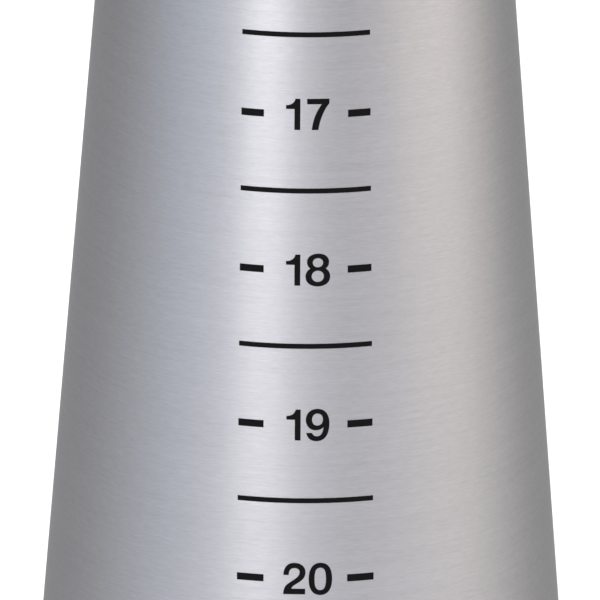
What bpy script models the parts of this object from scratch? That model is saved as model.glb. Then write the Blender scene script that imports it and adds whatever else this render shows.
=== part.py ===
"""Bracelet sizing mandrel: a hollow turned cone that closed bracelets and bangles slide down over.

The cone's circumference grows by one centimetre for every RISE_PER_CM of height, so the place where
a bracelet stops gives its inner circumference. A cap closes the narrow top, a base plate closes the
wide bottom, and one threaded tie rod on the axis pulls the two together from inside. Four rubber
feet are screwed under the base plate.

Metres, +Z up. The origin is on the axis, in the plane that the feet stand on, and the front of the
scale looks along -Y.
"""

import math

import bmesh
import bpy
from mathutils import Matrix, Vector

MM = 0.001

# The measuring cone
SCALE_SMALLEST_CM = 15.0      # circumference at the highest mark
SCALE_LARGEST_CM = 23.0       # circumference at the lowest mark
BLANK_END_CM = 0.5            # plain cone past each end of the scale, as circumference
RISE_PER_CM = 20 * MM         # height between two marks one centimetre apart
WALL = 4 * MM                 # wall of the cone, measured across the axis
EDGE_BREAK = 0.4 * MM         # small chamfer on the metal edges

# Heights
RIM_Z = 4 * MM                # lower rim of the cone above the bench
TOTAL_HEIGHT = 190 * MM

# Base plate, let into the cone's lower rim
PLATE_INSET = 1 * MM          # how far its lower face lies above the rim
PLATE_THICKNESS = 6 * MM
REBATE_WALL = 2.8 * MM        # wall left round the plate at the rim
BOSS_RADIUS = 15 * MM
BOSS_HEIGHT = 12 * MM         # above the plate's upper face
NUT_RECESS_RADIUS = 10 * MM
NUT_RECESS_DEPTH = 12 * MM

# Cap, plugged into the cone's narrow end
SPIGOT_DEPTH = 9 * MM
SPIGOT_WALL = 4 * MM
CAP_EDGE_ROUND = 1.6 * MM
CAP_BOSS_RADIUS = 9 * MM
CAP_BOSS_DEPTH = 16 * MM
CAP_THREAD_DEPTH = 14 * MM

# Tie rod, washers and nut (M8)
ROD_RADIUS = 4 * MM
ROD_END_Z = 5.5 * MM
WASHER_RADIUS = 8 * MM
WASHER_THICKNESS = 1.6 * MM
SPRING_WASHER_RADIUS = 7.2 * MM
SPRING_WASHER_THICKNESS = 1.9 * MM
SPRING_WASHER_SPLIT_DEG = 12
NUT_ACROSS_FLATS = 13 * MM
NUT_HEIGHT = 6.5 * MM

# Rubber feet and their screws (M3)
FOOT_COUNT = 4
FOOT_CIRCLE_RADIUS = 27 * MM
FOOT_RADIUS = 6.5 * MM
FOOT_TAPER = 0.5 * MM
FOOT_ROUND = 0.6 * MM
FOOT_WEB = 2.1 * MM           # rubber left between the screw's head and the base plate
FOOT_RECESS_RADIUS = 3.4 * MM
SCREW_RADIUS = 1.5 * MM
SCREW_HEAD_RADIUS = 2.8 * MM
SCREW_HEAD_HEIGHT = 1.6 * MM
SCREW_REACH = 4.4 * MM        # length of the screw inside the base plate
SCREW_HOLE_DEPTH = 5 * MM
DRIVE_WIDTH = 0.7 * MM
DRIVE_LENGTH = 3.2 * MM
DRIVE_DEPTH = 0.8 * MM

GAP = 0.3 * MM                # clearance between neighbouring pieces
CONE_STEPS = 96               # steps round the cone
DISC_STEPS = 72               # steps round the cap and the base plate
SMALL_STEPS = 24              # steps round the rod, washers, feet and screws
MERGE_DISTANCE = 0.02 * MM
SHARP_ANGLE = math.radians(28)

# name: (base colour, metallic, roughness)
FINISHES = {
    "turned_aluminium": ((0.62, 0.62, 0.64), 1.0, 0.34),
    "faced_aluminium": ((0.60, 0.60, 0.62), 1.0, 0.38),
    "zinc_steel": ((0.52, 0.53, 0.55), 1.0, 0.32),
    "black_rubber": ((0.03, 0.03, 0.032), 0.0, 0.85),
}


def radius_for(circumference_cm):
    """Radius of a circle of this circumference."""
    return circumference_cm * 10 * MM / (2 * math.pi)


# Worked out from the driving dimensions
TOP_CM = SCALE_SMALLEST_CM - BLANK_END_CM
RIM_CM = SCALE_LARGEST_CM + BLANK_END_CM
CONE_TOP_Z = RIM_Z + (RIM_CM - TOP_CM) * RISE_PER_CM
PLATE_Z = RIM_Z + PLATE_INSET
PLATE_TOP_Z = PLATE_Z + PLATE_THICKNESS
NUT_SEAT_Z = PLATE_Z + NUT_RECESS_DEPTH
FOOT_TOP_Z = PLATE_Z - GAP


def cone_radius(z):
    """Outer radius of the cone, and of the cap above it, at height z."""
    return radius_for(RIM_CM - (z - RIM_Z) / RISE_PER_CM)


def arc(centre_r, centre_z, radius, start_deg, end_deg, steps=4):
    """Points of a round corner in a turned profile, as (radius, height)."""
    angles = [math.radians(start_deg + (end_deg - start_deg) * i / steps) for i in range(steps + 1)]
    return [(centre_r + radius * math.cos(a), centre_z + radius * math.sin(a)) for a in angles]


# ---------------------------------------------------------------------------
# Modelling helpers
# ---------------------------------------------------------------------------

def clear_scene():
    for obj in list(bpy.data.objects):
        bpy.data.objects.remove(obj, do_unlink=True)


def new_collection(name):
    collection = bpy.data.collections.new(name)
    bpy.context.scene.collection.children.link(collection)
    return collection


def make_materials():
    materials = {}
    for name, (colour, metallic, roughness) in FINISHES.items():
        material = bpy.data.materials.new(name)
        material.use_nodes = True
        shader = material.node_tree.nodes["Principled BSDF"]
        shader.inputs["Base Color"].default_value = (*colour, 1.0)
        shader.inputs["Metallic"].default_value = metallic
        shader.inputs["Roughness"].default_value = roughness
        materials[name] = material
    return materials


def add_object(name, mesh, collection):
    obj = bpy.data.objects.new(name, mesh)
    collection.objects.link(obj)
    return obj


def turned(name, profile, collection, steps, closed=False):
    """A turned solid from (radius, height) points that run down its outer side.

    A closed profile makes a ring; an open one starts and ends on the axis.
    """
    points = [(r, 0.0, z) for r, z in profile]
    edges = [(i, i + 1) for i in range(len(points) - 1)]
    if closed:
        edges.append((len(points) - 1, 0))
    mesh = bpy.data.meshes.new(name)
    mesh.from_pydata(points, edges, [])
    obj = add_object(name, mesh, collection)
    screw = obj.modifiers.new("turn", "SCREW")
    screw.axis = "Z"
    screw.steps = steps
    screw.render_steps = steps
    screw.use_merge_vertices = True
    screw.merge_threshold = MERGE_DISTANCE
    screw.use_smooth_shade = True
    return obj


def settle(obj):
    """Apply the object's modifiers and shade it smooth between its sharp edges."""
    evaluated = obj.evaluated_get(bpy.context.evaluated_depsgraph_get())
    mesh = bpy.data.meshes.new_from_object(evaluated)
    obj.modifiers.clear()
    obj.data = mesh
    mesh.shade_smooth()
    mesh.set_sharp_from_angle(angle=SHARP_ANGLE)
    return obj


def as_cutter(obj):
    obj.hide_render = True
    obj.display_type = "WIRE"
    return obj


def mesh_from(body, name):
    """A mesh made from a bmesh, which is then freed."""
    mesh = bpy.data.meshes.new(name)
    body.to_mesh(mesh)
    body.free()
    return mesh


def cylinder(name, radius, low_z, high_z, collection, steps, centre=(0.0, 0.0)):
    body = bmesh.new()
    middle = Matrix.Translation((*centre, (low_z + high_z) / 2))
    bmesh.ops.create_cone(body, cap_ends=True, segments=steps, radius1=radius, radius2=radius,
                          depth=high_z - low_z, matrix=middle)
    return add_object(name, mesh_from(body, name), collection)


def boolean(obj, tool, operation):
    modifier = obj.modifiers.new(tool.name, "BOOLEAN")
    modifier.operation = operation
    modifier.solver = "EXACT"
    modifier.object = tool


def foot_places():
    """Centres of the feet, on a circle, turned so that none is straight in front."""
    for i in range(FOOT_COUNT):
        angle = 2 * math.pi * (i + 0.5) / FOOT_COUNT
        yield FOOT_CIRCLE_RADIUS * math.cos(angle), FOOT_CIRCLE_RADIUS * math.sin(angle)


# ---------------------------------------------------------------------------
# The pieces
# ---------------------------------------------------------------------------

def make_cone_shell(parts):
    """The measuring cone: an open tapered tube with a rebate for the base plate."""
    shoulder_z = PLATE_TOP_Z + GAP
    rebate_radius = cone_radius(RIM_Z) - REBATE_WALL
    profile = [
        (cone_radius(CONE_TOP_Z) - EDGE_BREAK, CONE_TOP_Z),
        (cone_radius(CONE_TOP_Z - EDGE_BREAK), CONE_TOP_Z - EDGE_BREAK),
        (cone_radius(RIM_Z + EDGE_BREAK), RIM_Z + EDGE_BREAK),
        (cone_radius(RIM_Z) - EDGE_BREAK, RIM_Z),
        (rebate_radius + EDGE_BREAK, RIM_Z),
        (rebate_radius, RIM_Z + EDGE_BREAK),
        (rebate_radius, shoulder_z),
        (cone_radius(shoulder_z) - WALL, shoulder_z),
        (cone_radius(CONE_TOP_Z) - WALL, CONE_TOP_Z),
    ]
    return turned("cone_shell", profile, parts, CONE_STEPS, closed=True)


def make_top_cap(parts):
    """The cap: a flange that carries on the cone's slope, a spigot and a tapped boss."""
    flange_z = CONE_TOP_Z + GAP
    spigot_radius = cone_radius(CONE_TOP_Z) - WALL - GAP
    thread_radius = ROD_RADIUS + GAP
    edge_z = TOTAL_HEIGHT - CAP_EDGE_ROUND
    profile = [(0.0, TOTAL_HEIGHT)]
    profile += arc(cone_radius(edge_z) - CAP_EDGE_ROUND, edge_z, CAP_EDGE_ROUND, 90, 0)
    profile += [
        (cone_radius(flange_z + EDGE_BREAK), flange_z + EDGE_BREAK),
        (cone_radius(flange_z) - EDGE_BREAK, flange_z),
        (spigot_radius, flange_z),
        (spigot_radius, flange_z - SPIGOT_DEPTH + EDGE_BREAK),
        (spigot_radius - EDGE_BREAK, flange_z - SPIGOT_DEPTH),
        (spigot_radius - SPIGOT_WALL, flange_z - SPIGOT_DEPTH),
        (spigot_radius - SPIGOT_WALL, flange_z),
        (CAP_BOSS_RADIUS, flange_z),
        (CAP_BOSS_RADIUS, flange_z - CAP_BOSS_DEPTH),
        (thread_radius, flange_z - CAP_BOSS_DEPTH),
        (thread_radius, flange_z - CAP_BOSS_DEPTH + CAP_THREAD_DEPTH),
        (0.0, flange_z - CAP_BOSS_DEPTH + CAP_THREAD_DEPTH),
    ]
    return turned("top_cap", profile, parts, DISC_STEPS)


def make_base_plate(parts, cutters):
    """The base plate: a disc with a boss on its upper side and a deep recess for the nut."""
    radius = cone_radius(RIM_Z) - REBATE_WALL - GAP
    boss_top = PLATE_TOP_Z + BOSS_HEIGHT
    bore_radius = ROD_RADIUS + GAP
    profile = [
        (BOSS_RADIUS - EDGE_BREAK, boss_top),
        (BOSS_RADIUS, boss_top - EDGE_BREAK),
        (BOSS_RADIUS, PLATE_TOP_Z),
        (radius - EDGE_BREAK, PLATE_TOP_Z),
        (radius, PLATE_TOP_Z - EDGE_BREAK),
        (radius, PLATE_Z + EDGE_BREAK),
        (radius - EDGE_BREAK, PLATE_Z),
        (NUT_RECESS_RADIUS + EDGE_BREAK, PLATE_Z),
        (NUT_RECESS_RADIUS, PLATE_Z + EDGE_BREAK),
        (NUT_RECESS_RADIUS, NUT_SEAT_Z),
        (bore_radius, NUT_SEAT_Z),
        (bore_radius, boss_top),
    ]
    plate = turned("base_plate", profile, parts, DISC_STEPS, closed=True)
    for number, centre in enumerate(foot_places(), start=1):
        drill = cylinder(f"drill_{number}", SCREW_RADIUS + GAP, PLATE_Z - 1 * MM,
                         PLATE_Z + SCREW_HOLE_DEPTH, cutters, SMALL_STEPS, centre)
        boolean(plate, as_cutter(drill), "DIFFERENCE")
    return plate


def make_tie_rod(parts):
    """The M8 tie rod, from the cap's boss down to the nut, with both ends chamfered."""
    top_z = CONE_TOP_Z + GAP - CAP_BOSS_DEPTH + CAP_THREAD_DEPTH - GAP
    chamfer = 0.8 * MM
    profile = [
        (0.0, top_z),
        (ROD_RADIUS - chamfer, top_z),
        (ROD_RADIUS, top_z - chamfer),
        (ROD_RADIUS, ROD_END_Z + chamfer),
        (ROD_RADIUS - chamfer, ROD_END_Z),
        (0.0, ROD_END_Z),
    ]
    return turned("tie_rod", profile, parts, SMALL_STEPS)


def make_flat_washer(parts):
    top_z = NUT_SEAT_Z - GAP
    bottom_z = top_z - WASHER_THICKNESS
    hole = ROD_RADIUS + GAP
    chamfer = EDGE_BREAK / 2
    profile = [
        (WASHER_RADIUS, top_z),
        (WASHER_RADIUS, bottom_z + chamfer),
        (WASHER_RADIUS - chamfer, bottom_z),
        (hole, bottom_z),
        (hole, top_z),
    ]
    return turned("flat_washer", profile, parts, SMALL_STEPS, closed=True), bottom_z


def make_spring_washer(parts, top_z):
    """A flat-sided ring with one gap, whose two ends are sprung apart in height."""
    hole = ROD_RADIUS + GAP
    spring = SPRING_WASHER_THICKNESS / 6
    low = top_z - SPRING_WASHER_THICKNESS
    high = top_z - spring
    corners = [(hole, low), (SPRING_WASHER_RADIUS, low), (SPRING_WASHER_RADIUS, high), (hole, high)]
    half_split = math.radians(SPRING_WASHER_SPLIT_DEG / 2)
    turn_to_start = Matrix.Rotation(half_split, 3, "Z")
    body = bmesh.new()
    section = body.faces.new([body.verts.new(turn_to_start @ Vector((r, 0, z))) for r, z in corners])
    bmesh.ops.spin(body, geom=[section], cent=(0, 0, 0), axis=(0, 0, 1), steps=SMALL_STEPS,
                   dvec=(0, 0, spring / SMALL_STEPS), angle=2 * (math.pi - half_split))
    bmesh.ops.recalc_face_normals(body, faces=body.faces)
    return add_object("spring_washer", mesh_from(body, "spring_washer"), parts)


def make_clamp_nut(parts, cutters, top_z):
    """A hexagon nut: a six-sided bar with both ends chamfered, bored through."""
    bottom_z = top_z - NUT_HEIGHT
    flat_radius = NUT_ACROSS_FLATS / 2
    corner_radius = flat_radius / math.cos(math.pi / 6)
    outside = corner_radius + 1 * MM
    chamfer = (outside - flat_radius) * math.tan(math.radians(30))
    nut = cylinder("clamp_nut", corner_radius, bottom_z, top_z, parts, steps=6)
    envelope = turned("nut_envelope", [
        (0.0, top_z),
        (flat_radius, top_z),
        (outside, top_z - chamfer),
        (outside, bottom_z + chamfer),
        (flat_radius, bottom_z),
        (0.0, bottom_z),
    ], cutters, 2 * SMALL_STEPS)
    bore = cylinder("nut_bore", ROD_RADIUS + GAP, bottom_z - 1 * MM, top_z + 1 * MM, cutters,
                    SMALL_STEPS)
    boolean(nut, as_cutter(envelope), "INTERSECT")
    boolean(nut, as_cutter(bore), "DIFFERENCE")
    return nut


def make_foot(number, centre, parts):
    """A rubber foot: a round pad, narrower at the floor, with a recess for its screw's head."""
    hole = SCREW_RADIUS + GAP
    web_z = FOOT_TOP_Z - FOOT_WEB
    floor_radius = FOOT_RADIUS - FOOT_TAPER
    profile = [
        (FOOT_RADIUS, FOOT_TOP_Z),
        *arc(floor_radius - FOOT_ROUND, FOOT_ROUND, FOOT_ROUND, 0, -90),
        (FOOT_RECESS_RADIUS, 0.0),
        (FOOT_RECESS_RADIUS, web_z),
        (hole, web_z),
        (hole, FOOT_TOP_Z),
    ]
    foot = turned(f"rubber_foot_{number}", profile, parts, SMALL_STEPS, closed=True)
    foot.location = (*centre, 0.0)
    return foot


def make_foot_screw(number, centre, parts, cutters):
    """A pan-head screw with a cross drive, up through the foot into the base plate."""
    head_top = FOOT_TOP_Z - FOOT_WEB - GAP
    head_bottom = head_top - SCREW_HEAD_HEIGHT
    tip_z = PLATE_Z + SCREW_REACH
    head_round = 0.8 * MM
    profile = [
        (0.0, tip_z),
        (SCREW_RADIUS - EDGE_BREAK, tip_z),
        (SCREW_RADIUS, tip_z - EDGE_BREAK),
        (SCREW_RADIUS, head_top),
        (SCREW_HEAD_RADIUS, head_top),
        *arc(SCREW_HEAD_RADIUS - head_round, head_bottom + head_round, head_round, 0, -90),
        (0.0, head_bottom),
    ]
    screw = turned(f"foot_screw_{number}", profile, parts, SMALL_STEPS)
    screw.location = (*centre, 0.0)
    for name, turn in (("across", 0), ("along", 90)):
        body = bmesh.new()
        bmesh.ops.create_cube(body, size=1.0)
        bmesh.ops.scale(body, vec=(DRIVE_LENGTH, DRIVE_WIDTH, 2 * DRIVE_DEPTH), verts=body.verts)
        slot = add_object(f"drive_{name}_{number}", mesh_from(body, f"drive_{name}"), cutters)
        slot.location = (*centre, head_bottom)
        slot.rotation_euler.z = math.radians(turn)
        boolean(screw, as_cutter(slot), "DIFFERENCE")
    return screw


def build():
    clear_scene()
    materials = make_materials()
    parts = new_collection("bracelet_mandrel")
    cutters = new_collection("cutters")

    washer, washer_bottom = make_flat_washer(parts)
    spring_top = washer_bottom - GAP
    nut_top = spring_top - SPRING_WASHER_THICKNESS - GAP
    finished = {
        "turned_aluminium": [make_cone_shell(parts), make_top_cap(parts)],
        "faced_aluminium": [make_base_plate(parts, cutters)],
        "zinc_steel": [
            make_tie_rod(parts),
            washer,
            make_spring_washer(parts, spring_top),
            make_clamp_nut(parts, cutters, nut_top),
        ],
        "black_rubber": [],
    }
    for number, centre in enumerate(foot_places(), start=1):
        finished["black_rubber"].append(make_foot(number, centre, parts))
        finished["zinc_steel"].append(make_foot_screw(number, centre, parts, cutters))

    bpy.context.view_layer.update()
    for finish, pieces in finished.items():
        for piece in pieces:
            settle(piece)
            piece.data.materials.clear()
            piece.data.materials.append(materials[finish])


build()
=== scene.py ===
"""The looks of the bracelet mandrel: turned metal, printed scale, floor, light and camera."""

import math

import bmesh
import bpy
from mathutils import Matrix, Quaternion, Vector


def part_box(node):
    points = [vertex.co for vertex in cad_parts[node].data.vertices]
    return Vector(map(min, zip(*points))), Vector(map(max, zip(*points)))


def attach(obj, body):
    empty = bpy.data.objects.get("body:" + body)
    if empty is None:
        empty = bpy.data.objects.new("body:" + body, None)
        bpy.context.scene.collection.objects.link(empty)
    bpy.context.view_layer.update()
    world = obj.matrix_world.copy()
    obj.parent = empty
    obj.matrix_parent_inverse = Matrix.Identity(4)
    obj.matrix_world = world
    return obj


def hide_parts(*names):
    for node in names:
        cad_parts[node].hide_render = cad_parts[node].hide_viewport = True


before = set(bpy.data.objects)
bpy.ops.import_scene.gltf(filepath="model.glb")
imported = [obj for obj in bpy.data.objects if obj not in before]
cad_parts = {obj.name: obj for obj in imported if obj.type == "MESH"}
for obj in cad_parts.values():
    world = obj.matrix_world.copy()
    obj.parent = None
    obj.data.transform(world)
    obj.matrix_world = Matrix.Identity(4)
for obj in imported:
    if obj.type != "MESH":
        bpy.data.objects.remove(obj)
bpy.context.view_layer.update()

MM = 0.001
TURN = 2 * math.pi
CM_ROUND = 10 * MM / TURN     # radius of a circle one centimetre round

# ---------------------------------------------------------------------------
# The measuring cone, read from the frame
# ---------------------------------------------------------------------------

RIM_CM = 23.5                 # circumference at the cone's lower rim
TOP_CM = 14.5                 # circumference at its upper rim
RIM_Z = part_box("cone_shell")[0].z
CONE_TOP_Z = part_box("cone_shell")[1].z
RISE_PER_CM = (CONE_TOP_Z - RIM_Z) / (RIM_CM - TOP_CM)
SLOPE = math.atan(CM_ROUND / RISE_PER_CM)      # half angle of the cone


def cone_radius(z):
    """Outer radius of the cone at height z."""
    return (RIM_CM - (z - RIM_Z) / RISE_PER_CM) * CM_ROUND


def height_of(circumference_cm):
    """Height at which the cone has this circumference."""
    return RIM_Z + (RIM_CM - circumference_cm) * RISE_PER_CM


# ---------------------------------------------------------------------------
# Mesh helpers
# ---------------------------------------------------------------------------

def new_object(name, mesh):
    obj = bpy.data.objects.new(name, mesh)
    bpy.context.scene.collection.objects.link(obj)
    return obj


def mesh_from(body, name, smooth_below=None):
    """Turn a bmesh into a mesh, smooth where faces meet at less than this angle in degrees."""
    bmesh.ops.recalc_face_normals(body, faces=body.faces)
    mesh = bpy.data.meshes.new(name)
    body.to_mesh(mesh)
    body.free()
    if smooth_below is not None:
        mesh.shade_smooth()
        mesh.set_sharp_from_angle(angle=math.radians(smooth_below))
    return mesh


def round_corner(centre_r, centre_z, radius, start_deg, end_deg, steps=6):
    """Points of a round corner in a turned profile, as (radius, height)."""
    angles = [math.radians(start_deg + (end_deg - start_deg) * i / steps) for i in range(steps + 1)]
    return [(centre_r + radius * math.cos(a), centre_z + radius * math.sin(a)) for a in angles]


def turned(name, profile, steps, closed=False, smooth_below=25, shape=None):
    """A turned solid. A closed profile makes a ring; an open one starts and ends on the axis.

    shape, where it is given, takes a radius, a height and an angle and gives the radius and height
    that the piece has there, for threads and hexagons.
    """
    body = bmesh.new()
    rings = []
    for radius, z in profile:
        if radius == 0:
            rings.append([body.verts.new((0, 0, z))])
            continue
        ring = []
        for i in range(steps):
            angle = TURN * i / steps
            r, height = shape(radius, z, angle) if shape else (radius, z)
            ring.append(body.verts.new((r * math.cos(angle), r * math.sin(angle), height)))
        rings.append(ring)
    pairs = list(zip(rings, rings[1:]))
    if closed:
        pairs.append((rings[-1], rings[0]))
    for upper, lower in pairs:
        for i in range(steps):
            j = (i + 1) % steps
            if len(upper) == 1:
                body.faces.new((upper[0], lower[i], lower[j]))
            elif len(lower) == 1:
                body.faces.new((upper[i], lower[0], upper[j]))
            else:
                body.faces.new((upper[i], lower[i], lower[j], upper[j]))
    return new_object(name, mesh_from(body, name, smooth_below))


def thread(pitch, depth, zones):
    """A shape for turned(): a helical groove in the stretches of height listed in zones."""
    def cut(radius, z, angle):
        if not any(low <= z <= high for low, high in zones):
            return radius, z
        phase = z / pitch - angle / TURN
        return radius - depth * (0.5 + 0.5 * math.cos(TURN * phase)), z
    return cut


def threaded_side(radius, start, end, pitch):
    """Points along a straight side, close enough together to carry a thread."""
    count = math.ceil(abs(end - start) / pitch * ROWS_PER_PITCH)
    return [(radius, start + (end - start) * i / count) for i in range(count + 1)]


def cut_out(obj, tools, smooth_below=30):
    """Cut the tools' shapes out of obj and remove the tools."""
    for tool in tools:
        modifier = obj.modifiers.new(tool.name, "BOOLEAN")
        modifier.operation = "DIFFERENCE"
        modifier.solver = "EXACT"
        modifier.object = tool
    evaluated = obj.evaluated_get(bpy.context.evaluated_depsgraph_get())
    mesh = bpy.data.meshes.new_from_object(evaluated)
    obj.modifiers.clear()
    obj.data = mesh
    mesh.shade_smooth()
    mesh.set_sharp_from_angle(angle=math.radians(smooth_below))
    for tool in tools:
        bpy.data.objects.remove(tool)


# ---------------------------------------------------------------------------
# Materials
# ---------------------------------------------------------------------------

class Nodes:
    """A material's node tree, with short names for the nodes used here."""

    def __init__(self, name):
        self.material = bpy.data.materials.new(name)
        self.material.use_nodes = True
        self.tree = self.material.node_tree
        self.shader = self.tree.nodes["Principled BSDF"]

    def node(self, kind, **settings):
        made = self.tree.nodes.new(kind)
        for key, value in settings.items():
            setattr(made, key, value)
        return made

    def link(self, source, target):
        self.tree.links.new(source, target)

    def set(self, **values):
        for key, value in values.items():
            self.shader.inputs[key.replace("_", " ")].default_value = value

    def math(self, operation, a, b=None):
        made = self.node("ShaderNodeMath", operation=operation)
        for socket, value in zip(made.inputs, (a, b)):
            if value is None:
                continue
            if isinstance(value, (int, float)):
                socket.default_value = value
            else:
                self.link(value, socket)
        return made.outputs[0]

    def position(self):
        coordinates = self.node("ShaderNodeTexCoord")
        parts = self.node("ShaderNodeSeparateXYZ")
        self.link(coordinates.outputs["Object"], parts.inputs[0])
        return coordinates.outputs["Object"], parts.outputs

    def combine(self, x, y, z):
        made = self.node("ShaderNodeCombineXYZ")
        for socket, value in zip(made.inputs, (x, y, z)):
            if isinstance(value, (int, float)):
                socket.default_value = value
            else:
                self.link(value, socket)
        return made.outputs[0]

    def noise(self, vector, scale, detail=2.0, roughness=0.5):
        made = self.node("ShaderNodeTexNoise")
        made.inputs["Scale"].default_value = scale
        made.inputs["Detail"].default_value = detail
        made.inputs["Roughness"].default_value = roughness
        self.link(vector, made.inputs["Vector"])
        return made.outputs["Fac"]

    def remap(self, value, low, high):
        """Spread a 0 to 1 value over low to high."""
        made = self.node("ShaderNodeMapRange")
        made.inputs["To Min"].default_value = low
        made.inputs["To Max"].default_value = high
        self.link(value, made.inputs["Value"])
        return made.outputs["Result"]

    def mix_colour(self, factor, first, second):
        made = self.node("ShaderNodeMix", data_type="RGBA")
        self.link(factor, made.inputs["Factor"])
        made.inputs["A"].default_value = (*first, 1)
        made.inputs["B"].default_value = (*second, 1)
        return made.outputs["Result"]

    def bump(self, height, distance):
        made = self.node("ShaderNodeBump")
        made.inputs["Strength"].default_value = 1.0
        made.inputs["Distance"].default_value = distance
        self.link(height, made.inputs["Height"])
        return made.outputs["Normal"]

    def spread(self, factor, colour, darkest, lightest):
        """The colour, varied between two multiples of itself."""
        return self.mix_colour(factor, [c * darkest for c in colour],
                               [min(1, c * lightest) for c in colour])

    def from_axis(self, x, y):
        """Distance from the Z axis."""
        return self.math("SQRT", self.math("ADD", self.math("MULTIPLY", x, x),
                                           self.math("MULTIPLY", y, y)))


GRAIN_SHARE = 0.6             # of the streaks; long tool lines make up the rest
METAL_TONES = (0.78, 1.22)    # darkest and lightest streak
ROUGHNESS_SPREAD = 0.04
GROOVE_ROTATION = 0.25        # in turns; it stretches highlights across the grooves


def turned_metal(name, colour, roughness, anisotropy, groove_depth):
    """Metal cut on a lathe: fine grooves round the Z axis, on cones and flat faces alike."""
    m = Nodes(name)
    _, (x, y, z) = m.position()
    radius = m.from_axis(x, y)
    # the direction from the axis as two numbers, so that the grooves close without a seam
    east = m.math("DIVIDE", x, radius)
    north = m.math("DIVIDE", y, radius)
    # radius plus height counts the grooves along a cone's side and across a face
    millimetres = m.math("MULTIPLY", m.math("ADD", radius, z), 1 / MM)

    def grooves(around, seed, per_millimetre, detail):
        """Noise that changes per_millimetre across the grooves and more slowly round the axis."""
        across = m.math("MULTIPLY", millimetres, per_millimetre)
        place = m.combine(m.math("MULTIPLY", east, around), m.math("MULTIPLY", north, around),
                          m.math("ADD", across, seed))
        return m.noise(place, 1.0, detail=detail, roughness=0.65)

    grain = grooves(around=22.0, seed=0, per_millimetre=6.5, detail=2.0)
    lines = grooves(around=1.5, seed=3, per_millimetre=2.6, detail=4.0)
    bands = grooves(around=0.6, seed=7, per_millimetre=0.12, detail=3.0)
    streaks = m.math("ADD", m.math("MULTIPLY", grain, GRAIN_SHARE),
                     m.math("MULTIPLY", lines, 1 - GRAIN_SHARE))
    m.link(m.spread(streaks, colour, *METAL_TONES), m.shader.inputs["Base Color"])
    wear = m.math("ADD", m.math("MULTIPLY", lines, 0.5), m.math("MULTIPLY", bands, 0.5))
    m.link(m.remap(wear, roughness - ROUGHNESS_SPREAD, roughness + ROUGHNESS_SPREAD),
           m.shader.inputs["Roughness"])
    m.link(m.bump(streaks, groove_depth), m.shader.inputs["Normal"])
    tangent = m.node("ShaderNodeTangent", direction_type="RADIAL", axis="Z")
    m.link(tangent.outputs[0], m.shader.inputs["Tangent"])
    m.set(Metallic=1.0, Anisotropic=anisotropy, Anisotropic_Rotation=GROOVE_ROTATION)
    return m.material


def plated_steel(name, colour):
    """Zinc plate: bright metal with a fine mottled sheen."""
    m = Nodes(name)
    place, _ = m.position()
    spots = m.noise(place, 900.0, detail=4.0, roughness=0.6)
    m.link(m.spread(spots, colour, 0.85, 1.0), m.shader.inputs["Base Color"])
    m.link(m.remap(spots, 0.24, 0.4), m.shader.inputs["Roughness"])
    m.link(m.bump(spots, 0.02 * MM), m.shader.inputs["Normal"])
    m.set(Metallic=1.0)
    return m.material


def moulded_rubber(name, colour):
    """Dull black rubber with a fine grain and a trace of dust."""
    m = Nodes(name)
    place, _ = m.position()
    grain = m.noise(place, 2500.0, detail=3.0, roughness=0.6)
    dust = m.noise(place, 220.0, detail=4.0, roughness=0.65)
    m.link(m.spread(dust, colour, 1.0, 1.8), m.shader.inputs["Base Color"])
    m.link(m.remap(grain, 0.72, 0.9), m.shader.inputs["Roughness"])
    m.link(m.bump(grain, 0.04 * MM), m.shader.inputs["Normal"])
    return m.material


def printed_ink(name, colour):
    """Matt black ink, slightly uneven, with hardly any shine."""
    m = Nodes(name)
    place, _ = m.position()
    speckle = m.noise(place, 3500.0, detail=3.0, roughness=0.6)
    m.link(m.spread(speckle, colour, 0.7, 1.3), m.shader.inputs["Base Color"])
    m.link(m.remap(speckle, 0.5, 0.7), m.shader.inputs["Roughness"])
    m.link(m.bump(speckle, 0.006 * MM), m.shader.inputs["Normal"])
    m.set(Specular_IOR_Level=0.08)
    return m.material


def finish(piece, material):
    """Give a piece its material and slot, and let it ride with the body."""
    piece.data.materials.clear()
    piece.data.materials.append(material)
    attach(piece, "root")


# ---------------------------------------------------------------------------
# The turned pieces
# ---------------------------------------------------------------------------

CONE_STEPS = 288
WALL = 4 * MM
EDGE = 0.4 * MM
GAP = 0.3 * MM
REBATE_WALL = 2.8 * MM
PLATE_TOP_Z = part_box("base_plate")[0].z + 6 * MM
CAP_EDGE_ROUND = 1.6 * MM
CAP_BOSS_RADIUS = 9 * MM
CAP_THREAD_DEPTH = 14 * MM
SPIGOT_DEPTH = 9 * MM
SPIGOT_WALL = 4 * MM
M8_RADIUS = 4 * MM
M8_PITCH = 1.25 * MM
M8_DEPTH = 0.55 * MM          # left shallow, so that nut and rod never touch
M3_RADIUS = 1.5 * MM
M3_PITCH = 0.5 * MM
M3_DEPTH = 0.25 * MM
ROWS_PER_PITCH = 10
ROD_CHAMFER = 0.8 * MM
ROD_LOWER_THREAD = 24 * MM    # length of the thread at the rod's lower end
ROD_UPPER_THREAD = 18 * MM
FLAT_WASHER_ROUND = 0.2 * MM
SPRING_WASHER_ROUND = 0.15 * MM
SPRING_WASHER_STEPS = 96
SPLIT_HALF_ANGLE = math.radians(6)
NUT_BORE_CHAMFER = 0.6 * MM
NUT_EDGE = 0.05 * MM
NUT_CHAMFER_ANGLE = math.radians(30)


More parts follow.
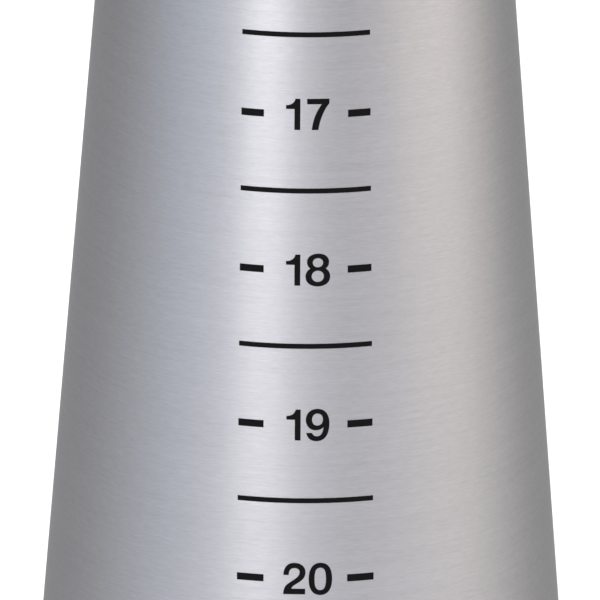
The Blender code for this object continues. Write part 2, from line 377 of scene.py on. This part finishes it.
def make_cone(material):
    """The measuring cone, with finely rounded rims instead of the frame's chamfers."""
    rebate = cone_radius(RIM_Z) - REBATE_WALL
    shoulder_z = PLATE_TOP_Z + GAP
    top = cone_radius(CONE_TOP_Z - EDGE)
    rim = cone_radius(RIM_Z + EDGE)
    profile = [
        *round_corner(top - EDGE, CONE_TOP_Z - EDGE, EDGE, 90, 5),
        *round_corner(rim - EDGE, RIM_Z + EDGE, EDGE, 5, -90),
        *round_corner(rebate + EDGE, RIM_Z + EDGE, EDGE, -90, -180),
        (rebate, shoulder_z),
        (cone_radius(shoulder_z) - WALL, shoulder_z),
        (cone_radius(CONE_TOP_Z) - WALL, CONE_TOP_Z),
    ]
    cone = turned("cone_skin", profile, CONE_STEPS, closed=True)
    finish(cone, material)
    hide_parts("cone_shell")


def make_cap(material):
    """The cap: a round-edged flange on the cone's slope, a spigot and a tapped boss inside."""
    low, high = (corner.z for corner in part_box("top_cap"))
    flange_z = CONE_TOP_Z + GAP
    spigot = cone_radius(CONE_TOP_Z) - WALL - GAP
    edge_z = high - CAP_EDGE_ROUND
    under = cone_radius(flange_z + EDGE) - EDGE
    bore = M8_RADIUS + GAP
    bore_top = low + CAP_THREAD_DEPTH
    profile = [
        (0, high),
        *round_corner(cone_radius(edge_z) - CAP_EDGE_ROUND, edge_z, CAP_EDGE_ROUND, 90, 5, 10),
        *round_corner(under, flange_z + EDGE, EDGE, 5, -90),
        (spigot, flange_z),
        *round_corner(spigot - EDGE, flange_z - SPIGOT_DEPTH + EDGE, EDGE, 0, -90),
        (spigot - SPIGOT_WALL, flange_z - SPIGOT_DEPTH),
        (spigot - SPIGOT_WALL, flange_z),
        (CAP_BOSS_RADIUS, flange_z),
        *round_corner(CAP_BOSS_RADIUS - EDGE, low + EDGE, EDGE, 0, -90),
        (bore + EDGE, low),
        (bore, low + EDGE),
        (bore, bore_top),
        (0, bore_top),
    ]
    cap = turned("cap_skin", profile, CONE_STEPS)
    finish(cap, material)
    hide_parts("top_cap")


def make_tie_rod(material):
    """The tie rod: a plain shank with an M8 thread cut on each end."""
    low, high = (corner.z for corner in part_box("tie_rod"))
    lower_end = low + ROD_LOWER_THREAD
    upper_end = high - ROD_UPPER_THREAD
    profile = [
        (0, high),
        (M8_RADIUS - ROD_CHAMFER, high),
        *threaded_side(M8_RADIUS, high - ROD_CHAMFER, upper_end, M8_PITCH),
        (M8_RADIUS, upper_end - EDGE),
        (M8_RADIUS, lower_end + EDGE),
        *threaded_side(M8_RADIUS, lower_end, low + ROD_CHAMFER, M8_PITCH),
        (M8_RADIUS - ROD_CHAMFER, low),
        (0, low),
    ]
    zones = [(low + ROD_CHAMFER, lower_end), (upper_end, high - ROD_CHAMFER)]
    rod = turned("rod_skin", profile, 48, smooth_below=60, shape=thread(M8_PITCH, M8_DEPTH, zones))
    finish(rod, material)
    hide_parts("tie_rod")


def make_flat_washer(material):
    """A flat ring with softened edges."""
    low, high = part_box("flat_washer")
    outer = high.x
    hole = M8_RADIUS + GAP
    soft = FLAT_WASHER_ROUND
    profile = [
        (hole + soft, high.z),
        *round_corner(outer - soft, high.z - soft, soft, 90, 0),
        *round_corner(outer - soft, low.z + soft, soft, 0, -90),
        (hole + soft, low.z),
        (hole, low.z + soft),
        (hole, high.z - soft),
    ]
    washer = turned("flat_washer_skin", profile, 96, closed=True)
    finish(washer, material)
    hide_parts("flat_washer")


def make_spring_washer(material):
    """A square-wire ring with one slanting gap, its ends sprung apart in height."""
    low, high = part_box("spring_washer")
    spring = (high.z - low.z) / 6
    hole = M8_RADIUS + GAP
    outer = high.y
    soft = SPRING_WASHER_ROUND
    top = high.z - spring
    section = [
        *round_corner(hole + soft, low.z + soft, soft, 180, 270, 3),
        *round_corner(outer - soft, low.z + soft, soft, 270, 360, 3),
        *round_corner(outer - soft, top - soft, soft, 0, 90, 3),
        *round_corner(hole + soft, top - soft, soft, 90, 180, 3),
    ]
    to_start = Matrix.Rotation(SPLIT_HALF_ANGLE, 3, "Z")
    body = bmesh.new()
    face = body.faces.new([body.verts.new(to_start @ Vector((r, 0, z))) for r, z in section])
    bmesh.ops.spin(body, geom=[face], cent=(0, 0, 0), axis=(0, 0, 1), steps=SPRING_WASHER_STEPS,
                   dvec=(0, 0, spring / SPRING_WASHER_STEPS), angle=TURN - 2 * SPLIT_HALF_ANGLE)
    washer = new_object("spring_washer_skin", mesh_from(body, "spring_washer_skin", 40))
    finish(washer, material)
    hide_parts("spring_washer")


def make_clamp_nut(material):
    """A hexagon nut with its corners chamfered at 30 degrees, and the thread inside."""
    low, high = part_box("clamp_nut")
    flats = high.x                # half the width across the flats
    bore = M8_RADIUS + GAP
    chamfer = NUT_BORE_CHAMFER
    edge = NUT_EDGE
    middle = (low.z + high.z) / 2
    outline = 2 * flats           # a radius that stands for the hexagon's own outline
    helix = thread(M8_PITCH, -M8_DEPTH / 2, [(low.z + chamfer, high.z - chamfer)])

    def shape(radius, z, angle):
        if radius < outline:
            return helix(radius, z, angle) if radius == bore else (radius, z)
        from_flat = (angle + TURN / 12) % (TURN / 6) - TURN / 12
        corner = (flats - edge) / math.cos(from_flat)
        drop = (corner - flats + edge) * math.tan(NUT_CHAMFER_ANGLE)
        return corner, z - drop if z > middle else z + drop

    profile = [
        (bore + chamfer, high.z),
        (flats - 3 * edge, high.z),
        (outline, high.z - edge),
        (outline, low.z + edge),
        (flats - 3 * edge, low.z),
        (bore + chamfer, low.z),
        *threaded_side(bore, low.z + chamfer, high.z - chamfer, M8_PITCH),
    ]
    nut = turned("nut_skin", profile, 96, closed=True, smooth_below=28, shape=shape)
    finish(nut, material)
    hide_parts("clamp_nut")


# ---------------------------------------------------------------------------
# Base plate, feet and screws
# ---------------------------------------------------------------------------

FEET = [f"rubber_foot_{number}" for number in range(1, 5)]
PLATE_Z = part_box("base_plate")[0].z
BOSS_RADIUS = 15 * MM
NUT_RECESS_RADIUS = 10 * MM
NUT_SEAT_Z = PLATE_Z + 12 * MM
SCREW_HOLE_DEPTH = 5 * MM
FOOT_TAPER = 0.5 * MM
FOOT_ROUND = 0.6 * MM
FOOT_WEB = 2.1 * MM
FOOT_TOP_ROUND = 0.3 * MM
FOOT_RECESS_RADIUS = 3.4 * MM
HEAD_HEIGHT = 1.6 * MM
HEAD_ROUND = 0.8 * MM
HEAD_RIM_ROUND = 0.1 * MM
DRIVE_WIDTH = 0.7 * MM
DRIVE_LENGTH = 3.2 * MM
DRIVE_DEPTH = 0.9 * MM
DRIVE_TAPER = (0.45, 0.7)     # length and width at the bottom of the recess, as a share


def centre_of(node):
    low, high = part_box(node)
    return (low.x + high.x) / 2, (low.y + high.y) / 2


def make_base_plate(material):
    """The base plate: a turned disc with a boss above, a deep recess below and four screw holes."""
    low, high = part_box("base_plate")
    radius = high.x
    bore = M8_RADIUS + GAP
    profile = [
        *round_corner(BOSS_RADIUS - EDGE, high.z - EDGE, EDGE, 90, 0),
        (BOSS_RADIUS, PLATE_TOP_Z),
        *round_corner(radius - EDGE, PLATE_TOP_Z - EDGE, EDGE, 90, 0),
        *round_corner(radius - EDGE, PLATE_Z + EDGE, EDGE, 0, -90),
        *round_corner(NUT_RECESS_RADIUS + EDGE, PLATE_Z + EDGE, EDGE, -90, -180),
        (NUT_RECESS_RADIUS, NUT_SEAT_Z),
        (bore, NUT_SEAT_Z),
        (bore, high.z),
    ]
    plate = turned("base_skin", profile, 192, closed=True)
    drills = []
    for foot in FEET:
        hole = [(0, low.z + SCREW_HOLE_DEPTH + EDGE), (M3_RADIUS + GAP, low.z + SCREW_HOLE_DEPTH),
                (M3_RADIUS + GAP, low.z - EDGE), (0, low.z - EDGE)]
        drill = turned(f"drill_{foot}", hole, 32)
        drill.location = (*centre_of(foot), 0)
        drills.append(drill)
    cut_out(plate, drills)
    finish(plate, material)
    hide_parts("base_plate")


def make_foot(node, material):
    """A moulded rubber foot: a round pad, narrower at the floor, with a recess for its screw."""
    low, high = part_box(node)
    radius = (high.x - low.x) / 2
    floor_radius = radius - FOOT_TAPER
    web_z = high.z - FOOT_WEB
    hole = M3_RADIUS + GAP
    soft = FOOT_TOP_ROUND
    profile = [
        *round_corner(radius - soft, high.z - soft, soft, 90, -10),
        *round_corner(floor_radius - FOOT_ROUND, FOOT_ROUND, FOOT_ROUND, -10, -90, 8),
        *round_corner(FOOT_RECESS_RADIUS + soft, soft, soft, -90, -180),
        (FOOT_RECESS_RADIUS, web_z),
        (hole, web_z),
        (hole, high.z),
    ]
    foot = turned(f"{node}_skin", profile, 72, closed=True, smooth_below=30)
    foot.location = (*centre_of(node), 0)
    finish(foot, material)
    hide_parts(node)


def make_foot_screw(node, material):
    """A pan-head M3 screw with a cross drive."""
    low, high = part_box(node)
    radius = (high.x - low.x) / 2
    head_top = low.z + HEAD_HEIGHT
    rim = radius - HEAD_RIM_ROUND
    thread_start = head_top + EDGE
    profile = [
        (0, high.z),
        (M3_RADIUS - EDGE, high.z),
        *threaded_side(M3_RADIUS, high.z - EDGE, thread_start, M3_PITCH),
        (M3_RADIUS, head_top),
        *round_corner(rim, head_top - HEAD_RIM_ROUND, HEAD_RIM_ROUND, 90, 0, 2),
        *round_corner(radius - HEAD_ROUND, low.z + HEAD_ROUND, HEAD_ROUND, 0, -90),
        (0, low.z),
    ]
    helix = thread(M3_PITCH, M3_DEPTH, [(thread_start, high.z - EDGE)])
    screw = turned(f"{node}_skin", profile, 48, smooth_below=40, shape=helix)
    wings = []
    for turn in (0, 90):
        body = bmesh.new()
        bmesh.ops.create_cube(body, size=1.0)
        for vert in body.verts:
            along, across = DRIVE_TAPER if vert.co.z > 0 else (1.0, 1.0)
            vert.co.x *= DRIVE_LENGTH * along
            vert.co.y *= DRIVE_WIDTH * across
            vert.co.z *= 2 * DRIVE_DEPTH
        wing = new_object(f"wing_{turn}_{node}", mesh_from(body, "wing"))
        wing.location.z = low.z
        wing.rotation_euler.z = math.radians(turn)
        wings.append(wing)
    bpy.context.view_layer.update()
    cut_out(screw, wings, 40)
    screw.location = (*centre_of(node), 0)
    finish(screw, material)
    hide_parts(node)


# ---------------------------------------------------------------------------
# The printed scale
# ---------------------------------------------------------------------------

DIGIT_HEIGHT = 4.0            # millimetres, as are all measures of the print
DIGIT_GAP = 0.40
GAP_AFTER_ONE = 0.65
SEVEN_KERN = 0.19             # more gap before a 7
NUMBER_OFFSET = 0.30          # numbers sit a little right of the marks' middle
NUMBER_DROP = 0.18            # and with their dashes a little below their true place
DASH_THICKNESS = 0.92
DASH_INNER = 5.28
LINE_THICKNESS = 0.64
LINE_HALF_LENGTH = 8.34       # at the mark 18
LINE_GROWTH = 0.178           # more half length per centimetre further down the scale
PRINT_TURN = math.radians(0.58)      # how far the print is off the front
PRINT_LEAN = math.radians(0.18)      # and how much more per centimetre further down
INK_BURIED = 0.020
INK_PROUD = 0.030
PRINT_GRID = 0.45             # widest piece of ink that stays flat on the round cone
PRINT_MERGE = 0.005           # points closer together than this become one

# Outlines of the digits, in millimetres from the lower left corner. A tuple of two is a corner; a
# tuple of six is a curve: its two handles and its end. Each digit has an outer outline, then holes.
DIGITS = {
    "1": [[(1.79, 4.0), (1.17, 4.0), (1.05, 3.45, 0.65, 3.16, 0, 3.15), (0, 2.68), (1.06, 2.68),
           (1.06, 0), (1.79, 0)]],
    "7": [[(0, 4.0), (0, 3.31), (1.86, 3.31), (1.15, 2.45, 0.72, 1.2, 0.60, 0), (1.42, 0),
           (1.6, 1.25, 2.1, 2.65, 2.78, 3.40), (2.78, 4.0)]],
    "2": [[(0, 2.505), (0, 3.45, 0.5, 4.10, 1.38, 4.10), (2.2, 4.10, 2.78, 3.6, 2.78, 2.88),
           (2.78, 2.2, 2.35, 1.85, 1.97, 1.57), (1.5, 1.27, 1.15, 1.1, 0.98, 0.72), (2.75, 0.72),
           (2.75, 0), (-0.02, 0), (0.02, 0.8, 0.22, 1.15, 0.86, 1.57),
           (1.45, 2.0, 2.04, 2.3, 2.04, 2.92), (2.04, 3.24, 1.78, 3.42, 1.38, 3.42),
           (0.92, 3.42, 0.67, 3.1, 0.67, 2.505)]],
    "3": [[(0.12, 2.86), (0.15, 3.65, 0.65, 4.10, 1.45, 4.10), (2.2, 4.10, 2.74, 3.7, 2.74, 3.05),
           (2.74, 2.62, 2.5, 2.3, 2.14, 2.16), (2.62, 2.02, 2.92, 1.65, 2.92, 1.15),
           (2.92, 0.4, 2.3, -0.1, 1.43, -0.1), (0.55, -0.1, 0.02, 0.4, 0, 1.28), (0.74, 1.28),
           (0.76, 0.75, 1.02, 0.53, 1.45, 0.53), (1.87, 0.53, 2.15, 0.77, 2.15, 1.15),
           (2.15, 1.6, 1.8, 1.8, 1.32, 1.8), (1.12, 1.8), (1.12, 2.38), (1.32, 2.38),
           (1.75, 2.38, 2.0, 2.6, 2.0, 2.96), (2.0, 3.28, 1.78, 3.48, 1.43, 3.48),
           (1.05, 3.48, 0.84, 3.25, 0.83, 2.86)]],
    "5": [[(2.64, 4.0), (0.50, 4.0), (0.10, 1.82), (0.76, 1.82),
           (0.93, 2.05, 1.15, 2.15, 1.42, 2.15), (1.87, 2.15, 2.13, 1.85, 2.13, 1.36),
           (2.13, 0.85, 1.85, 0.53, 1.4, 0.53), (1.02, 0.53, 0.8, 0.74, 0.74, 1.1), (0, 1.1),
           (0.06, 0.35, 0.6, -0.1, 1.4, -0.1), (2.3, -0.1, 2.9, 0.5, 2.9, 1.38),
           (2.9, 2.18, 2.38, 2.72, 1.64, 2.72), (1.35, 2.72, 1.1, 2.64, 0.93, 2.46),
           (1.08, 3.32), (2.64, 3.32)]],
    "8": [[(0.62, 2.2), (0.33, 2.38, 0.19, 2.68, 0.19, 3.08), (0.19, 3.72, 0.80, 4.13, 1.57, 4.13),
           (2.34, 4.13, 2.95, 3.72, 2.95, 3.08), (2.95, 2.68, 2.81, 2.38, 2.52, 2.2),
           (2.90, 2.0, 3.1, 1.6, 3.1, 1.15), (3.1, 0.38, 2.44, -0.1, 1.55, -0.1),
           (0.66, -0.1, 0, 0.38, 0, 1.15), (0, 1.6, 0.24, 2.0, 0.62, 2.2)],
          [(1.55, 3.55), (1.20, 3.55, 0.91, 3.32, 0.91, 2.96), (0.91, 2.6, 1.20, 2.37, 1.55, 2.37),
           (1.90, 2.37, 2.20, 2.6, 2.20, 2.96), (2.20, 3.32, 1.90, 3.55, 1.55, 3.55)],
          [(1.55, 1.94), (1.12, 1.94, 0.78, 1.62, 0.78, 1.2), (0.78, 0.8, 1.12, 0.48, 1.55, 0.48),
           (1.98, 0.48, 2.31, 0.8, 2.31, 1.2), (2.31, 1.62, 1.98, 1.94, 1.55, 1.94)]],
    "9": [[(0.06, 0.97), (0.18, 0.3, 0.65, -0.1, 1.38, -0.1), (2.42, -0.1, 2.97, 0.8, 2.97, 2.2),
           (2.97, 3.35, 2.4, 4.10, 1.45, 4.10), (0.6, 4.10, 0, 3.5, 0, 2.68),
           (0, 1.88, 0.52, 1.32, 1.25, 1.32), (1.65, 1.32, 1.98, 1.45, 2.22, 1.72),
           (2.16, 0.95, 1.9, 0.53, 1.42, 0.53), (1.12, 0.53, 0.88, 0.68, 0.80, 0.97)],
          [(1.46, 3.49), (1.04, 3.49, 0.78, 3.17, 0.78, 2.7), (0.78, 2.23, 1.04, 1.92, 1.46, 1.92),
           (1.88, 1.92, 2.14, 2.23, 2.14, 2.7), (2.14, 3.17, 1.88, 3.49, 1.46, 3.49)]],
    "0": [[(1.48, 4.10), (0.42, 4.10, 0, 3.2, 0, 2.0), (0, 0.8, 0.42, -0.1, 1.48, -0.1),
           (2.54, -0.1, 2.96, 0.8, 2.96, 2.0), (2.96, 3.2, 2.54, 4.10, 1.48, 4.10)],
          [(1.46, 3.47), (0.92, 3.47, 0.74, 3.0, 0.74, 2.0), (0.74, 1.0, 0.92, 0.53, 1.46, 0.53),
           (2.0, 0.53, 2.18, 1.0, 2.18, 2.0), (2.18, 3.0, 2.0, 3.47, 1.46, 3.47)]],
}


def half_turned(outlines, width, height):
    """The outlines turned by half a turn within their own box."""
    def flip(point):
        return tuple(width - v if i % 2 == 0 else height - v for i, v in enumerate(point))
    return [[flip(point) for point in outline] for outline in outlines]


DIGITS["6"] = half_turned(DIGITS["9"], 2.97, DIGIT_HEIGHT)


def digit_width(digit):
    return max(point[-2] for point in DIGITS[digit][0])


def outline_points(outline, steps=10):
    """The corners of an outline, with its curves divided into short straight steps."""
    points = []
    for entry in outline:
        if len(entry) == 2:
            points.append(Vector(entry))
            continue
        start = points[-1]
        handle_a, handle_b, end = (Vector(entry[i:i + 2]) for i in (0, 2, 4))
        for i in range(1, steps + 1):
            t = i / steps
            points.append(start * (1 - t) ** 3 + handle_a * 3 * t * (1 - t) ** 2
                          + handle_b * 3 * t * t * (1 - t) + end * t ** 3)
    if (points[0] - points[-1]).length < 1e-6:
        points.pop()
    return points


def flat_outline(body, outlines, offset):
    """Fill outlines, moved by offset, as a flat face in the XY plane."""
    curve = bpy.data.curves.new("outline", "CURVE")
    curve.dimensions = "2D"
    curve.fill_mode = "BOTH"
    for outline in outlines:
        points = outline_points(outline)
        spline = curve.splines.new("POLY")
        spline.points.add(len(points) - 1)
        for target, point in zip(spline.points, points):
            target.co = (point.x + offset[0], point.y + offset[1], 0, 1)
        spline.use_cyclic_u = True
    holder = bpy.data.objects.new("outline", curve)
    bpy.context.scene.collection.objects.link(holder)
    bpy.context.view_layer.update()
    flat = bpy.data.meshes.new_from_object(holder.evaluated_get(
        bpy.context.evaluated_depsgraph_get()))
    body.from_mesh(flat)
    bpy.data.objects.remove(holder)
    bpy.data.curves.remove(curve)
    bpy.data.meshes.remove(flat)


def rectangle(body, low_x, high_x, low_y, high_y):
    corners = [(low_x, low_y), (high_x, low_y), (high_x, high_y), (low_x, high_y)]
    body.faces.new([body.verts.new((x, y, 0)) for x, y in corners])


def wrap_on_cone(body, name, mark_cm):
    """Thicken flat ink and lay it on the cone: x runs round the cone, y up its slope."""
    bmesh.ops.remove_doubles(body, verts=body.verts, dist=PRINT_MERGE)
    low = min(v.co.x for v in body.verts)
    high = max(v.co.x for v in body.verts)
    cuts = math.ceil((high - low) / PRINT_GRID)
    for i in range(1, cuts):
        place = low + (high - low) * i / cuts
        bmesh.ops.bisect_plane(body, geom=body.verts[:] + body.edges[:] + body.faces[:],
                               dist=PRINT_MERGE, plane_co=(place, 0, 0), plane_no=(1, 0, 0))
    bmesh.ops.remove_doubles(body, verts=body.verts, dist=PRINT_MERGE)
    solid = bmesh.ops.extrude_face_region(body, geom=body.faces[:])
    raised = {v for v in solid["geom"] if isinstance(v, bmesh.types.BMVert)}
    mark_z = height_of(mark_cm)
    middle = PRINT_TURN + PRINT_LEAN * (mark_cm - 18)
    for vert in body.verts:
        z = mark_z + vert.co.y * MM * math.cos(SLOPE)
        proud = (INK_PROUD if vert in raised else -INK_BURIED) * MM
        angle = middle + vert.co.x * MM / cone_radius(z)
        radius = cone_radius(z) + proud
        vert.co = (radius * math.sin(angle), -radius * math.cos(angle), z)
    return new_object(name, mesh_from(body, name, 30))


def make_number_mark(number, ink):
    """A whole centimetre: its number between two dashes."""
    body = bmesh.new()
    digits = str(number)
    gap = GAP_AFTER_ONE if digits[0] == "1" else DIGIT_GAP
    widths = [digit_width(d) for d in digits]
    x = NUMBER_OFFSET - (sum(widths) + gap) / 2
    if digits[1] == "7":
        x -= SEVEN_KERN
        gap += SEVEN_KERN
    for digit, width in zip(digits, widths):
        flat_outline(body, DIGITS[digit], (x, -DIGIT_HEIGHT / 2 - NUMBER_DROP))
        x += width + gap
    outer = LINE_HALF_LENGTH + LINE_GROWTH * (number - 18)
    for low, high in ((-outer, -DASH_INNER), (DASH_INNER, outer)):
        rectangle(body, low, high, -DASH_THICKNESS / 2 - NUMBER_DROP,
                  DASH_THICKNESS / 2 - NUMBER_DROP)
    piece = wrap_on_cone(body, f"mark_{number}", number)
    finish(piece, ink)


def make_half_mark(value, ink):
    """Half a centimetre: one long thin line."""
    body = bmesh.new()
    half = LINE_HALF_LENGTH + LINE_GROWTH * (value - 18)
    rectangle(body, -half, half, -LINE_THICKNESS / 2, LINE_THICKNESS / 2)
    piece = wrap_on_cone(body, f"mark_{int(value)}_half", value)
    finish(piece, ink)


# ---------------------------------------------------------------------------
# Floor, light and camera
# ---------------------------------------------------------------------------

FLOOR_SIZE = 20.0             # half its width, in metres
FLOOR_TONES = ((0.92, 0.92, 0.92), (0.94, 0.94, 0.94))
FLOOR_FADE = (0.5, 1.3)       # metres from the axis over which the floor becomes the white backdrop
WHITE = 1.1                   # brightness of backdrop and world where the camera sees them


def make_floor():
    """A pale matt floor that passes into an evenly white backdrop further away."""
    body = bmesh.new()
    bmesh.ops.create_grid(body, x_segments=8, y_segments=8, size=FLOOR_SIZE)
    floor = new_object("floor", mesh_from(body, "floor"))
    m = Nodes("pale_floor")
    place, (x, y, _) = m.position()
    patches = m.noise(place, 3.0, detail=2.0)
    m.link(m.mix_colour(patches, *FLOOR_TONES), m.shader.inputs["Base Color"])
    m.set(Roughness=0.9, Specular_IOR_Level=0.2)
    fade = m.node("ShaderNodeMapRange", interpolation_type="SMOOTHSTEP")
    fade.inputs["From Min"].default_value, fade.inputs["From Max"].default_value = FLOOR_FADE
    m.link(m.from_axis(x, y), fade.inputs["Value"])
    backdrop = m.node("ShaderNodeEmission")
    backdrop.inputs["Strength"].default_value = WHITE
    both = m.node("ShaderNodeMixShader")
    m.link(fade.outputs["Result"], both.inputs[0])
    m.link(m.shader.outputs["BSDF"], both.inputs[1])
    m.link(backdrop.outputs["Emission"], both.inputs[2])
    m.link(both.outputs["Shader"], m.tree.nodes["Material Output"].inputs["Surface"])
    m.material.cycles.emission_sampling = "NONE"
    floor.data.materials.append(m.material)
    # the metal mirrors the world below the horizon in place of the floor, so the floor doesn't hide it
    floor.visible_glossy = False
    floor.visible_shadow = False


def soft_box(name, place, facing, width, height, power, colour, in_metal=True):
    """A rectangular light that shines against the direction facing, out of the camera's sight.

    With in_metal False it lights only what is matt: the metal doesn't mirror it.
    """
    light = bpy.data.lights.new(name, "AREA")
    light.shape = "RECTANGLE"
    light.size = width
    light.size_y = height
    light.energy = power
    light.color = colour
    holder = bpy.data.objects.new(name, light)
    holder.location = place
    holder.rotation_mode = "QUATERNION"
    holder.rotation_quaternion = facing.to_track_quat("Z", "Y")
    holder.visible_camera = False
    holder.visible_glossy = in_metal
    bpy.context.scene.collection.objects.link(holder)


# A ring of tall soft boxes stands round the mandrel. Azimuth 0 is in front, 90 to the right.
RING_BOXES = 18
RING_DISTANCE = 2.4
RING_LOW_Z = 0.02
RING_HIGH_Z = 1.9
RING_POWER = 20.0             # watts of a box at brightness 1
FAINTEST = 0.004              # a box less bright than this is left out
CEILING = 1.9
CEILING_SIZE = 4.6
OVERHEAD_POWER = 64
FLOOR_WASH_POWER = 46
FLOOR_WASH_LIFT = 0.1         # of two lights in one plane a ray finds only one
RING_LOBES = (                # middle and spread in degrees, and brightness in red, green and blue
    (-19, 10.5, (0.67, 0.65, 0.66)),      # key light, a little left of the camera
    (-60, 18, (0.07, 0.10, 0.13)),        # its cool surroundings on the left
    (80, 23, (0.39, 0.35, 0.30)),         # warm light from the right
    (180, 13, (0.50, 0.50, 0.52)),        # light from behind, for the mandrel's back
)


def ring_brightness(azimuth):
    """Colour and brightness of the ring in this direction: the sum of its lobes."""
    total = Vector((0, 0, 0))
    for middle, spread, colour in RING_LOBES:
        away = (azimuth - middle + 180) % 360 - 180
        total += Vector(colour) * math.exp(-0.5 * (away / spread) ** 2)
    return total


def make_lights():
    width = 2 * RING_DISTANCE * math.tan(math.pi / RING_BOXES)
    for i in range(RING_BOXES):
        azimuth = 360 * i / RING_BOXES - 180
        brightness = ring_brightness(azimuth)
        if max(brightness) < FAINTEST:
            continue
        a = math.radians(azimuth)
        outward = Vector((math.sin(a), -math.cos(a), 0))
        place = outward * RING_DISTANCE + Vector((0, 0, (RING_LOW_Z + RING_HIGH_Z) / 2))
        soft_box(f"ring_{i}", place, outward, width, RING_HIGH_Z - RING_LOW_Z,
                 RING_POWER * max(brightness), brightness / max(brightness))
    up = Vector((0, 0, 1))
    soft_box("overhead", up * CEILING, up, CEILING_SIZE, CEILING_SIZE, OVERHEAD_POWER, (1, 1, 1))
    soft_box("floor_wash", up * (CEILING + FLOOR_WASH_LIFT), up, CEILING_SIZE, CEILING_SIZE,
             FLOOR_WASH_POWER, (1, 1, 1), in_metal=False)


# The room as the metal mirrors it, below and above the horizon: (in front, behind)
ROOM_BELOW = ((0.96, 0.95, 1.0), (0.37, 0.37, 0.37))
ROOM_ABOVE = ((0.01, 0.01, 0.01), (0.02, 0.02, 0.02))
HORIZON_SOFTNESS = 0.3        # sine of the elevation over which below passes into above


def make_world():
    """White to the eye, and a dim soft room in the metal's reflections."""
    world = bpy.data.worlds.new("studio")
    bpy.context.scene.world = world
    world.use_nodes = True
    tree = world.node_tree

    def node(kind, **settings):
        made = tree.nodes.new(kind)
        for key, value in settings.items():
            setattr(made, key, value)
        return made

    def share(value, low, high):
        made = node("ShaderNodeMapRange", interpolation_type="SMOOTHSTEP")
        made.inputs["From Min"].default_value = low
        made.inputs["From Max"].default_value = high
        tree.links.new(value, made.inputs["Value"])
        return made.outputs["Result"]

    def mix(factor, first, second):
        made = node("ShaderNodeMix", data_type="RGBA")
        tree.links.new(factor, made.inputs["Factor"])
        for socket, colour in ((made.inputs["A"], first), (made.inputs["B"], second)):
            if isinstance(colour, tuple):
                socket.default_value = (*colour, 1)
            else:
                tree.links.new(colour, socket)
        return made.outputs["Result"]

    parts = node("ShaderNodeSeparateXYZ")
    tree.links.new(node("ShaderNodeTexCoord").outputs["Generated"], parts.inputs[0])
    behind = share(parts.outputs["Y"], -1, 1)
    above = share(parts.outputs["Z"], -HORIZON_SOFTNESS, HORIZON_SOFTNESS)
    room = tree.nodes["Background"]
    tree.links.new(mix(above, mix(behind, *ROOM_BELOW), mix(behind, *ROOM_ABOVE)),
                   room.inputs["Color"])
    white = node("ShaderNodeBackground")
    white.inputs["Strength"].default_value = WHITE
    white.inputs["Color"].default_value = (1, 1, 1, 1)
    choice = node("ShaderNodeMixShader")
    tree.links.new(node("ShaderNodeLightPath").outputs["Is Camera Ray"], choice.inputs[0])
    tree.links.new(room.outputs[0], choice.inputs[1])
    tree.links.new(white.outputs[0], choice.inputs[2])
    tree.links.new(choice.outputs[0], tree.nodes["World Output"].inputs["Surface"])


CAMERA_DISTANCE = 1.700       # in front of the axis
CAMERA_LENS_MM = 850.0
CAMERA_X = -0.00040
CAMERA_ABOVE_18 = 0.58335     # height above the mark 18
CAMERA_PITCH = 19.3667        # degrees downwards
CAMERA_ROLL = 0.402


def make_camera():
    """A long lens on the scale's middle, in front and a little above."""
    camera = bpy.data.cameras.new("camera")
    camera.lens = CAMERA_LENS_MM
    camera.sensor_width = 36.0
    camera.clip_start = 0.05
    camera.clip_end = 50.0
    holder = bpy.data.objects.new("camera", camera)
    holder.location = (CAMERA_X, -CAMERA_DISTANCE, height_of(18) + CAMERA_ABOVE_18)
    holder.rotation_mode = "QUATERNION"
    tilt = Quaternion((1, 0, 0), math.radians(90 - CAMERA_PITCH))
    roll = Quaternion((0, 0, 1), math.radians(CAMERA_ROLL))
    holder.rotation_quaternion = tilt @ roll
    bpy.context.scene.collection.objects.link(holder)
    bpy.context.scene.camera = holder


def main():
    make_camera()
    make_floor()
    make_world()
    make_lights()

    satin = turned_metal("satin_turned_aluminium", colour=(0.60, 0.60, 0.62), roughness=0.42,
                         anisotropy=0.6, groove_depth=0.022 * MM)
    faced = turned_metal("satin_faced_aluminium", colour=(0.58, 0.58, 0.60), roughness=0.40,
                         anisotropy=0.5, groove_depth=0.022 * MM)
    steel = plated_steel("bright_zinc", (0.55, 0.56, 0.58))
    rubber = moulded_rubber("moulded_rubber", (0.022, 0.022, 0.024))
    ink = printed_ink("printed_ink", (0.0045, 0.0045, 0.0052))

    make_cone(satin)
    make_cap(satin)
    make_base_plate(faced)
    make_tie_rod(steel)
    make_flat_washer(steel)
    make_spring_washer(steel)
    make_clamp_nut(steel)
    for number, foot in enumerate(FEET, start=1):
        make_foot(foot, rubber)
        make_foot_screw(f"foot_screw_{number}", steel)

    for number in range(15, 24):
        make_number_mark(number, ink)
    for number in range(15, 23):
        make_half_mark(number + 0.5, ink)
    bpy.context.scene.view_settings.view_transform = "Standard"


main()
